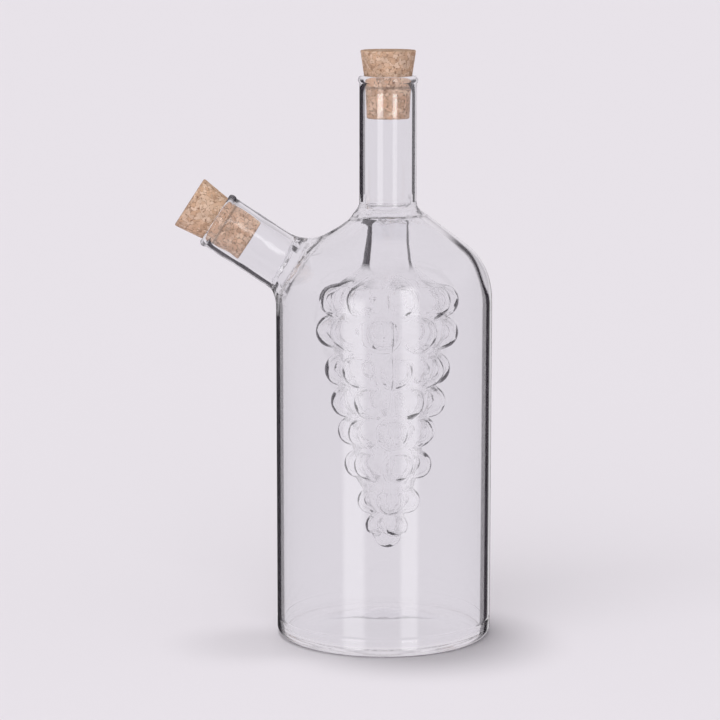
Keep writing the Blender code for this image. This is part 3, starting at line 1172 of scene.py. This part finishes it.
def flow_group():
    """Shader group: fine unevenness of blown glass, as a height and a film of handling."""
    graph, given = new_group(
        "Blown surface",
        "Shader",
        {"Scale": 120.0, "Stretch": 0.12},
        {"Height": "Float", "Film": "Float"},
    )
    place = graph.wire("ShaderNodeTexCoord", output="Object")
    stretch = graph.wire("ShaderNodeCombineXYZ", {"X": 1.0, "Y": 1.0, "Z": given["Stretch"]})
    waves = {"Vector": place * stretch, "Scale": given["Scale"], "Detail": 2.0, "Roughness": 0.4}
    film = {"Vector": place, "Scale": 45.0, "Detail": 5.0, "Roughness": 0.62}
    results = {
        "Height": graph.wire("ShaderNodeTexNoise", waves),
        "Film": graph.wire("ShaderNodeTexNoise", film),
    }
    graph.node("NodeGroupOutput", results)
    return graph.tree


def new_material(name, inputs):
    """A material, its graph and its Principled shader with some inputs set."""
    material = bpy.data.materials.new(name)
    material.use_nodes = True
    graph = Graph(material.node_tree)
    return material, graph, graph.feed(graph.tree.nodes["Principled BSDF"], inputs)


def glass_material(name, settings, groups, tone, waves, bump, passes, centre_fade=0.0):
    """Clear blown glass.

    tone is what a wall lets through. waves are the scale and stretch of its unevenness and
    bump their height. passes is the share of a lamp's light that each surface lets through.
    centre_fade thins the painted dark edges near the middle of the inner vessel, as seen.
    """
    plain = {"Metallic": 0.0, "IOR": settings.ior, "Transmission Weight": 1.0}
    material, graph, shader = new_material(name, plain)
    facing = graph.wire("ShaderNodeLayerWeight", {"Blend": 0.5}, "Facing")
    later = 0.0
    if centre_fade:
        place = graph.wire("ShaderNodeTexCoord", output="Object")
        radial = calc("NORMALIZE", (place - (neck_offset, 0, 0)) * (1, 1, 0))
        turned = {"Blend": 0.5, "Normal": radial}
        side = graph.wire("ShaderNodeLayerWeight", turned, "Facing")
        height = graph.wire("ShaderNodeSeparateXYZ", {0: place}, "Z")
        low = band(height, 0.134, stem_foot, 1.0, 0.0)
        later = band(side, 0.25, 0.75, centre_fade, 0.0) * low
    marks = {
        "Facing": facing,
        "Edge": mesh_value(graph, "edge", "Vector"),
        "Step": mesh_value(graph, "edge_step"),
        "Later": later,
    }
    mask = graph.wire("ShaderNodeGroup", marks, "Mask", node_tree=groups["edge"])
    entering = 1.0 - graph.wire("ShaderNodeNewGeometry", output="Backfacing")
    stretch = {"Scale": waves[0], "Stretch": waves[1]}
    flow = graph.wires("ShaderNodeGroup", stretch, node_tree=groups["surface"])
    relief = {"Strength": 1.0, "Distance": bump, "Height": flow["Height"]}
    looks = {
        # Painted shade: the colour goes dark where the edge mask lies, on faces that a ray enters
        "Base Color": mixed(mask * entering, (*tone, 1), (*settings.painted_edge_shade, 1)),
        "Roughness": band(flow["Film"], 0.5, 0.8, 0.0, 0.03, "LINEAR"),
        "Normal": graph.wire("ShaderNodeBump", relief),
    }
    graph.feed(shader, looks)
    clear = graph.wire("ShaderNodeBsdfTransparent", {"Color": (passes,) * 3 + (1,)})
    shadow = graph.wire("ShaderNodeLightPath", output="Is Shadow Ray")
    both = {0: shadow, 1: Wire(graph, shader.outputs[0]), 2: clear}
    surface = {"Surface": graph.wire("ShaderNodeMixShader", both)}
    graph.feed(graph.tree.nodes["Material Output"], surface)
    return material


class OBJECT_OT_bottle_glass(bpy.types.Operator):
    """Blow the glass: body, neck, side spout and grape-shaped inner vessel in one piece"""

    bl_idname = "object.bottle_glass"
    bl_label = "Blow the glass"

    def execute(self, context):
        settings = context.scene.bottle_glass
        groups = {"edge": edge_group(), "surface": flow_group()}
        drawn, blown = (120.0, 0.12), (260.0, 1.0)
        tone, thin = settings.tone, settings.thin_tone
        wall_glass = glass_material("wall glass", settings, groups, tone, drawn, 0.000004, 0.35)
        tube_glass = glass_material("tube glass", settings, groups, tone, drawn, 0.000002, 1.0)
        bunch_glass = glass_material(
            "bunch glass", settings, groups, thin, blown, 0.000006, 0.85, centre_fade=0.12
        )
        bm = bmesh.new()
        layer = bm.verts.layers.float.new("bunch")
        angles = turn_angles()
        turned_surface(bm, outside_outline(settings.grape_radius), angles, layer)
        turned_surface(bm, oil_outline(settings.grape_radius), angles, layer, inward=True)
        shell = new_piece("bottle_glass", mesh_from("bottle_glass", bm), wall_glass)
        join_solids(shell, hole_mesh(), "DIFFERENCE")
        join_solids(shell, spout_mesh(), "UNION")
        blow_bunch(shell, bunch_glass, settings)
        bm = bmesh.new()
        bm.from_mesh(shell.data)
        add_flow(bm, settings.flow)
        for face in bm.faces:
            face.smooth = True
        crease_rings(bm)
        bm.to_mesh(shell.data)
        bm.free()
        paint_edge_shade(shell.data)
        share_glass(shell.data, tube_glass)
        sag_shoulder(shell.data)
        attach(shell, "bottle")
        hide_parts(*glass_nodes)
        return {"FINISHED"}


def cork_outline(settings, depth, top):
    """Tapered cork with worn edges, as points from the middle of its top to its end."""
    shank, wear = settings.shank_radius, settings.wear
    top_flat, end_flat = settings.top_radius - wear, settings.end_radius - wear
    top_arc = round_arc(top_flat, top - wear, wear, pi / 2, 0, 5)
    end_arc = round_arc(end_flat, wear - depth, wear, 0, -pi / 2, 5)
    outline = spaced((0, top), top_arc[0], int(top_flat / cork_pitch)) + top_arc[:-1]
    stops = [top_arc[-1], (shank + 0.00045, 0.0006), (shank, -lip_height / 2), end_arc[0]]
    for start, end in zip(stops, stops[1:]):
        outline += spaced(start, end, max(int((start[1] - end[1]) / cork_pitch), 1))
    radius, height = end_arc[-1]
    foot = spaced((radius, height), (0, height), int(radius / cork_pitch))[1:]
    return outline + end_arc + foot + [(0, height)]


def bent_place(place, scale, seed, granule):
    """A place moved about by up to half a granule, so that granules aren't regular."""
    drift = speckle(place, seed, scale, 2.0, 0.6, "Color")
    move = (drift - (0.5, 0.5, 0.5)) * (granule * 1.6)
    return place + move + place.graph.wire("ShaderNodeCombineXYZ", {"X": seed * 0.05})


def cork_tree(sizes):
    """Geometry nodes that roughen a turned cork into pressed granules."""
    graph, given = new_group(
        "Cork grain",
        "Geometry",
        {"Geometry": "Geometry", **sizes, "Seed": 0.0, "Material": "Material"},
        {"Geometry": "Geometry"},
    )
    place = graph.wire("GeometryNodeInputPosition")
    scale, seed = 1.0 / given["Granule"], given["Seed"]
    bent = bent_place(place, scale, seed, given["Granule"])
    lumps = band(cells(bent, scale, "DISTANCE_TO_EDGE", "Distance"), 0.0, 0.22, -1.0, 0.0)
    pits = band(speckle(place, seed, scale * 0.9, 3.0, 0.6), 0.62, 0.75, 0.0, -1.0)
    depth = lumps * given["Relief"] + pits * given["Pits"]
    move = {"Offset": graph.wire("GeometryNodeInputNormal") * depth}
    return finish_geometry(graph, given, move, {"Material": given["Material"]})


def grain_group(settings):
    """Shader group: colour of pressed cork granules times painted light and shade, its roughness
    and a fine height.
    """
    graph, given = new_group(
        "Pressed cork",
        "Shader",
        {
            "Granule": settings.granule,
            "Seed": 0.0,
            "Cork": "Color",
            "Light": "Color",
            "Bark": "Color",
            "Shade": 1.0,
        },
        {"Colour": "Color", "Roughness": "Float", "Height": "Float"},
    )
    place = graph.wire("ShaderNodeTexCoord", output="Object")
    scale, seed, bark = 1.0 / given["Granule"], given["Seed"], given["Bark"]
    bent = bent_place(place, scale, seed, given["Granule"])
    edges = cells(bent, scale, "DISTANCE_TO_EDGE", "Distance")
    chance = graph.wires("ShaderNodeSeparateColor", {0: cells(bent, scale, "F1", "Color")})
    fine = speckle(place, seed, scale * 1.7, 4.0, 0.7)
    clouds = speckle(place, seed, scale * 0.33, 1.0)
    specks = speckle(place, seed, scale * 3.6, 2.0, 0.6)

    # Paler and browner granules times painted light and shade, dark joints between them, and
    # specks of bark
    colour = mixed(band(chance["Red"], 0.15, 1.0, 0.0, 1.0), given["Cork"], given["Light"])
    colour *= band(clouds, 0.35, 0.65, 0.87, 1.07) * given["Shade"]
    colour = mixed(band(chance["Green"], 0.80, 0.95, 0.0, 0.3), colour, bark)
    joint = band(edges, 0.01, 0.12, 0.82, 0.0) * band(fine, 0.45, 0.57, 0.03, 1.0)
    colour = mixed(joint, colour, bark)
    colour = mixed(band(specks, 0.63, 0.70, 0.0, 0.9), colour, bark, clamp_result=True)
    rough = band(fine, 0.0, 1.0, 0.72, 0.97, "LINEAR")
    graph.node("NodeGroupOutput", {"Colour": colour, "Roughness": rough, "Height": fine})
    return graph.tree


def cork_material(name, settings, grain, seed):
    """Pressed cork with its own scatter of granules."""
    plain = {"Metallic": 0.0, "Specular IOR Level": 0.25}
    material, graph, shader = new_material(name, plain)
    inputs = {
        "Granule": settings.granule,
        "Seed": seed,
        "Cork": (*settings.colour, 1),
        "Light": (*settings.light_colour, 1),
        "Bark": (*settings.dark_colour, 1),
        # Painted light and shade, stored on the cork's points
        "Shade": mesh_value(graph, "shade"),
    }
    pressed = graph.wires("ShaderNodeGroup", inputs, node_tree=grain)
    relief = {"Strength": 0.6, "Distance": 0.0002, "Height": pressed["Height"]}
    looks = {
        "Base Color": pressed["Colour"],
        "Roughness": pressed["Roughness"],
        "Normal": graph.wire("ShaderNodeBump", relief),
    }
    graph.feed(shader, looks)
    return material


def painted_cork_shading(height, top):
    """Painted light and shade of a cork at a height above the rim: darker on top, lighter where
    glass covers it, with a dark line under the lip.
    """
    if height > top - 0.0001:
        return painted_top_shade
    shade = painted_light_in_glass + (1 - painted_light_in_glass) * smooth_step(height, -0.0008, 0.0012)
    return shade * (1 - painted_lip_shade * bell(height, -lip_height - 0.0009, 0.0005))


def make_cork(name, body, ends, place, values, settings, tree):
    """Turn a cork, roughen it and put it in its mouth."""
    bm = bmesh.new()
    # The shade layer holds painted light and shade for the cork's colour
    layer = bm.verts.layers.float.new("shade")
    angles = [2 * pi * i / cork_steps for i in range(cork_steps)]
    outline = [
        (radius, height, 0.0, painted_cork_shading(height, ends[1]))
        for radius, height in cork_outline(settings, *ends)
    ]
    turned_surface(bm, outline, angles, layer)
    bmesh.ops.recalc_face_normals(bm, faces=bm.faces[:])
    bmesh.ops.transform(bm, matrix=place, verts=bm.verts[:])
    cork = new_piece(name, mesh_from(name, bm))
    run_tree(cork, tree, values)
    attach(cork, body)
    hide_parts(body)


class OBJECT_OT_bottle_corks(bpy.types.Operator):
    """Press and turn the two cork stoppers, and push them into the neck and the spout"""

    bl_idname = "object.bottle_corks"
    bl_label = "Turn the corks"

    def execute(self, context):
        settings = context.scene.bottle_corks
        sizes = {"Granule": settings.granule, "Relief": settings.relief, "Pits": settings.pit}
        grain, tree = grain_group(settings), cork_tree(sizes)
        upright = Matrix.Translation((neck_offset, 0, rim_height))
        slanted = Matrix.Translation(spout_start + spout_axis * spout_reach) @ spout_turn
        neck_ends = (settings.neck_depth, settings.rise)
        spout_ends = (settings.spout_depth, settings.spout_rise)
        for name, body, ends, place, seed in (
            ("neck_cork", "vinegar_stopper", neck_ends, upright, 3.0),
            ("spout_cork", "oil_stopper", spout_ends, slanted, 8.0),
        ):
            material = cork_material(name.replace("_", " "), settings, grain, seed)
            values = {**sizes, "Seed": seed, "Material": material}
            make_cork(name, body, ends, place, values, settings, tree)
        return {"FINISHED"}


def floor_material(studio):
    """Pale seamless paper."""
    paper = {"Base Color": (*studio.backdrop, 1), "Roughness": 0.9, "Specular IOR Level": 0.0}
    return new_material("seamless paper", paper)[0]


def strip_light(azimuth, left, right, soft):
    """Mask of a tall light between two azimuths, in degrees from the viewer towards +X."""
    rise = band(azimuth, radians(left - soft), radians(left + soft), 0.0, 1.0)
    return rise * band(azimuth, radians(right - soft), radians(right + soft), 1.0, 0.0)


def studio_world(studio):
    """Even light, a pale backdrop, and tall lights that only the glass mirrors."""
    world = bpy.data.worlds.new("studio")
    world.use_nodes = True
    graph = Graph(world.node_tree)
    direction = graph.wire("ShaderNodeTexCoord", output="Generated")
    parts = graph.wires("ShaderNodeSeparateXYZ", {0: direction})
    x, z = parts["X"], parts["Z"]
    toward = parts["Y"] * -1.0
    azimuth = calc("ARCTAN2", x, toward)

    # Tall lights: each ends at its own height, and all are brightest near the table
    left = strip_light(azimuth, -44, -21, 4) * band(z, 0.15, 0.40, 1.0, 0.0)
    right = strip_light(azimuth, 18, 36, 3) * band(z, 0.50, 0.62, 1.0, 0.0)
    behind = strip_light(azimuth, 151, 166, 2) * 0.18 * band(z, -0.10, 0.0, 1.0, 0.0)
    brighter = band(z, -0.0725, -0.0700, 1.0, 4.2) * band(z, -0.055, -0.045, 1.0, 0.34)
    low = band(z, -0.45, -0.30, 0.0, 1.0)
    strips = ((left + right) * brighter + behind) * studio.strip * low

    # What else the glass mirrors: pale above, behind it and below, dark in between
    overhead = band(z, 0.10, 0.55, 0.04, 0.75)
    far = band(toward, -0.985, -0.90, 0.75, 0.0) * band(z, -0.10, -0.03, 0.0, 1.0)
    far *= band(x, -0.12, -0.03, 0.2, 1.0)
    below = band(z, -0.42, -0.28, 0.65, 0.0)
    round_about = calc("MAXIMUM", calc("MAXIMUM", overhead, far), below)
    paper = tuple(part / studio.backdrop[0] for part in studio.backdrop)
    mirrored = strips + round_about * paper

    # What lights the corks and the floor, what the camera sees and what is seen through glass
    through = band(z, 0.2, 0.8, 1.0, studio.ceiling) * tuple(studio.backdrop)
    path = graph.wires("ShaderNodeLightPath")
    light = band(toward, -1.0, 1.0, studio.fill - 0.2, studio.fill + 0.2)
    light = mixed(path["Is Camera Ray"], light, (*studio.backdrop, 1))
    light = mixed(path["Is Glossy Ray"], light, mirrored)
    light = mixed(path["Is Transmission Ray"], light, through)
    graph.feed(graph.tree.nodes["Background"], {"Color": light})
    return world


def new_lamp(name, power, spread, tilt, turn):
    """Add a broad lamp that lights the corks and the floor, and that the glass doesn't show."""
    lamp = bpy.data.lights.new(name, "SUN")
    lamp.energy = power
    lamp.angle = radians(spread)
    light = new_object(name, lamp)
    light.rotation_euler = (radians(tilt), 0, radians(turn))
    return light


class SCENE_OT_bottle_studio(bpy.types.Operator):
    """Set up the floor, the light and the camera"""

    bl_idname = "scene.bottle_studio"
    bl_label = "Set up the studio"

    def execute(self, context):
        scene = context.scene
        studio = scene.bottle_studio
        bm = bmesh.new()
        bmesh.ops.create_grid(bm, x_segments=1, y_segments=1, size=40)
        floor = new_piece("floor", mesh_from("floor", bm), floor_material(studio))
        key = new_lamp("key", studio.key, 17, 9, -142)
        front = new_lamp("front", studio.front, 80, 66, -20)
        for item in (floor, key, front):
            item.visible_glossy = False
            item.visible_transmission = False
        lens = bpy.data.cameras.new("camera")
        lens.lens = studio.lens
        lens.sensor_width = 36.0
        camera = new_object("camera", lens)
        camera.location = (-studio.aside, -studio.distance, studio.height)
        camera.rotation_euler = (pi / 2 - studio.pitch, 0, 0)
        scene.camera = camera
        scene.world = studio_world(studio)
        scene.view_settings.view_transform = "Standard"
        scene.cycles.max_bounces = light_bounces
        scene.cycles.transmission_bounces = light_bounces
        scene.cycles.glossy_bounces = light_bounces
        return {"FINISHED"}


class VIEW3D_PT_bottle(bpy.types.Panel):
    """Sizes and buttons for the bottle"""

    bl_label = "Oil and vinegar bottle"
    bl_idname = "VIEW3D_PT_bottle"
    bl_space_type = "VIEW_3D"
    bl_region_type = "UI"
    bl_category = "Bottle"

    def draw(self, context):
        scene = context.scene
        groups = (
            (scene.bottle_glass, "object.bottle_glass"),
            (scene.bottle_corks, "object.bottle_corks"),
            (scene.bottle_studio, "scene.bottle_studio"),
        )
        for settings, operator in groups:
            box = self.layout.box()
            for name in settings.__annotations__:
                box.prop(settings, name)
            box.operator(operator)


classes = (
    GlassSettings,
    CorkSettings,
    StudioSettings,
    OBJECT_OT_bottle_glass,
    OBJECT_OT_bottle_corks,
    SCENE_OT_bottle_studio,
    VIEW3D_PT_bottle,
)


def register():
    """Register the classes and the scene's settings."""
    for item in classes:
        bpy.utils.register_class(item)
    bpy.types.Scene.bottle_glass = PointerProperty(type=GlassSettings)
    bpy.types.Scene.bottle_corks = PointerProperty(type=CorkSettings)
    bpy.types.Scene.bottle_studio = PointerProperty(type=StudioSettings)


def unregister():
    """Remove the settings and the classes."""
    del bpy.types.Scene.bottle_studio
    del bpy.types.Scene.bottle_corks
    del bpy.types.Scene.bottle_glass
    for item in reversed(classes):
        bpy.utils.unregister_class(item)


def main():
    """Make every piece and the studio."""
    register()
    clear_scene()
    bpy.ops.object.bottle_glass()
    bpy.ops.object.bottle_corks()
    bpy.ops.scene.bottle_studio()


if __name__ == "__main__":
    main()
